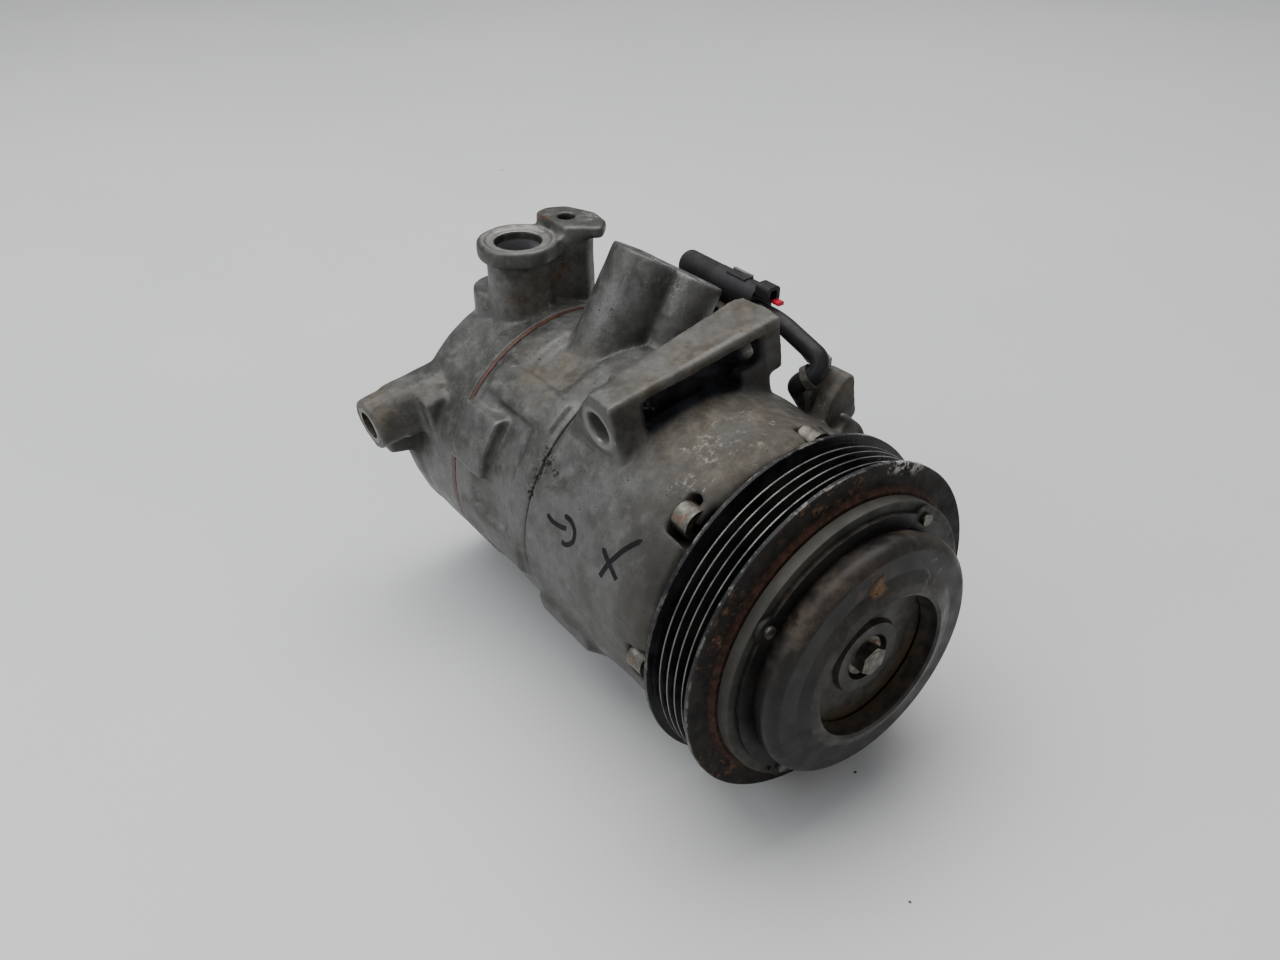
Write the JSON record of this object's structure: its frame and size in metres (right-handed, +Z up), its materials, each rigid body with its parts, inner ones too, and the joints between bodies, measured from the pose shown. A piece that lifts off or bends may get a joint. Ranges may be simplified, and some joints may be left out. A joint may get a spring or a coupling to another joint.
{
  "type": "automotive air-conditioning compressor",
  "caption": "Wobble-plate refrigerant compressor for a belt drive, with a grooved magnetic-clutch pulley, cast aluminium housings, pipe ports and mounting lugs.",
  "frame": {"origin": "on the shaft axis, in the middle plane of the belt grooves", "axes": "+Y along the shaft from the clutch towards the rear head, +Z up and square to the suction port's face, +X to the right when the clutch is seen from the front"},
  "size_m": [0.1448, 0.2125, 0.1485],
  "materials": {
    "cast_aluminium": "weathered sand-cast aluminium, stained",
    "gasket": "red-brown coated gasket edge",
    "spring_steel": "ground steel",
    "bearing_steel": "polished bearing steel",
    "bolt_steel": "zinc-plated steel, dulled",
    "black_rubber": "matt black rubber",
    "pulley_paint": "worn black paint with rust",
    "armature_steel": "greenish grey oxidised steel",
    "hub_paint": "dark grey paint, dusty",
    "coil_steel": "black coated steel",
    "copper": "potted copper winding",
    "black_plastic": "black moulded nylon",
    "red_plastic": "red lock tab",
    "zinc_strip": "zinc-plated strip",
    "piston_alloy": "machined aluminium alloy",
    "brass_valve": "brass"
  },
  "bodies": {
    "body": {"front_housing": "cast_aluminium", "cylinder_block": "cast_aluminium", "rear_head": "cast_aluminium", "head_gasket": "gasket", "housing_seal": "black_rubber", "valve_plate": "spring_steel", "suction_reed": "spring_steel", "discharge_reed": "spring_steel", "reed_retainer": "spring_steel", "through_bolts": "bolt_steel", "dowel_pins": "spring_steel", "front_shaft_bearing": "bearing_steel", "rear_shaft_bearing": "bearing_steel", "thrust_bearing": "bearing_steel", "guide_pin": "spring_steel", "shaft_seal": "black_rubber", "seal_snap_ring": "spring_steel", "coil_shell": "coil_steel", "coil_winding": "copper", "coil_snap_ring": "spring_steel", "coil_terminal": "black_plastic", "bearing_inner_ring": "bearing_steel", "bearing_snap_ring": "spring_steel", "control_valve": "brass_valve", "control_valve_ring": "spring_steel", "relief_valve": "brass_valve", "oil_plug": "bolt_steel", "rear_lug_bush": "bolt_steel", "coil_lead": "black_plastic", "lead_clip": "zinc_strip", "connector_body": "black_plastic", "connector_boot": "black_rubber", "connector_latch": "black_plastic", "connector_lock": "red_plastic", "connector_bracket": "zinc_strip", "bracket_screw": "bolt_steel"},
    "pulley_body": {"pulley": "pulley_paint", "bearing_outer_ring": "bearing_steel", "bearing_balls": "bearing_steel", "bearing_seals": "black_rubber"},
    "shaft_body": {"shaft": "bearing_steel", "drive_plate": "spring_steel", "tilt_ball": "bearing_steel", "hub_inner": "hub_paint", "hub_rubber": "black_rubber", "hub_bolt": "bolt_steel", "hub_shim": "spring_steel"},
    "armature_body": {"armature_plate": "armature_steel", "armature_rivets": "bolt_steel", "hub_plate": "hub_paint", "hub_cover": "hub_paint"},
    "wobble_body": {"wobble_plate": "spring_steel"},
    "piston_body_1": {"piston_1": "piston_alloy"},
    "piston_body_2": {"piston_2": "piston_alloy"},
    "piston_body_3": {"piston_3": "piston_alloy"},
    "piston_body_4": {"piston_4": "piston_alloy"},
    "piston_body_5": {"piston_5": "piston_alloy"},
    "piston_body_6": {"piston_6": "piston_alloy"}
  },
  "joints": [
    {"name": "pulley_spin", "type": "hinge", "parent": "body", "child": "pulley_body", "pos_m": [0, 0, 0], "axis": [0, -1, 0], "continuous": true},
    {"name": "shaft_spin", "type": "hinge", "parent": "body", "child": "shaft_body", "pos_m": [0, 0, 0], "axis": [0, -1, 0], "continuous": true},
    {"name": "armature_pull", "type": "slide", "parent": "shaft_body", "child": "armature_body", "axis": [0, 1, 0], "range_m": [0, 0.0005], "stiffness_N_per_m": 20000, "deforming": ["hub_rubber"]},
    {"name": "plate_tilt", "type": "hinge", "parent": "body", "child": "wobble_body", "pos_m": [0, 0.064, 0], "axis": [0.0872, 0, 0.9962], "range_deg": [0, 12]},
    {"name": "piston_slide_1", "type": "slide", "parent": "body", "child": "piston_body_1", "axis": [0, 1, 0], "range_m": [0, 0.00489]},
    {"name": "piston_slide_2", "type": "slide", "parent": "body", "child": "piston_body_2", "axis": [0, 1, 0], "range_m": [-0.00198, 0]},
    {"name": "piston_slide_3", "type": "slide", "parent": "body", "child": "piston_body_3", "axis": [0, 1, 0], "range_m": [-0.00657, 0]},
    {"name": "piston_slide_4", "type": "slide", "parent": "body", "child": "piston_body_4", "axis": [0, 1, 0], "range_m": [-0.00489, 0]},
    {"name": "piston_slide_5", "type": "slide", "parent": "body", "child": "piston_body_5", "axis": [0, 1, 0], "range_m": [0, 0.00198]},
    {"name": "piston_slide_6", "type": "slide", "parent": "body", "child": "piston_body_6", "axis": [0, 1, 0], "range_m": [0, 0.00657]}
  ],
  "couplings": [
    {"joint": "piston_slide_1", "follows": "plate_tilt", "m_per_rad": 0.02192},
    {"joint": "piston_slide_2", "follows": "plate_tilt", "m_per_rad": -0.0080234},
    {"joint": "piston_slide_3", "follows": "plate_tilt", "m_per_rad": -0.029944},
    {"joint": "piston_slide_4", "follows": "plate_tilt", "m_per_rad": -0.02192},
    {"joint": "piston_slide_5", "follows": "plate_tilt", "m_per_rad": 0.0080234},
    {"joint": "piston_slide_6", "follows": "plate_tilt", "m_per_rad": 0.029944}
  ]
}
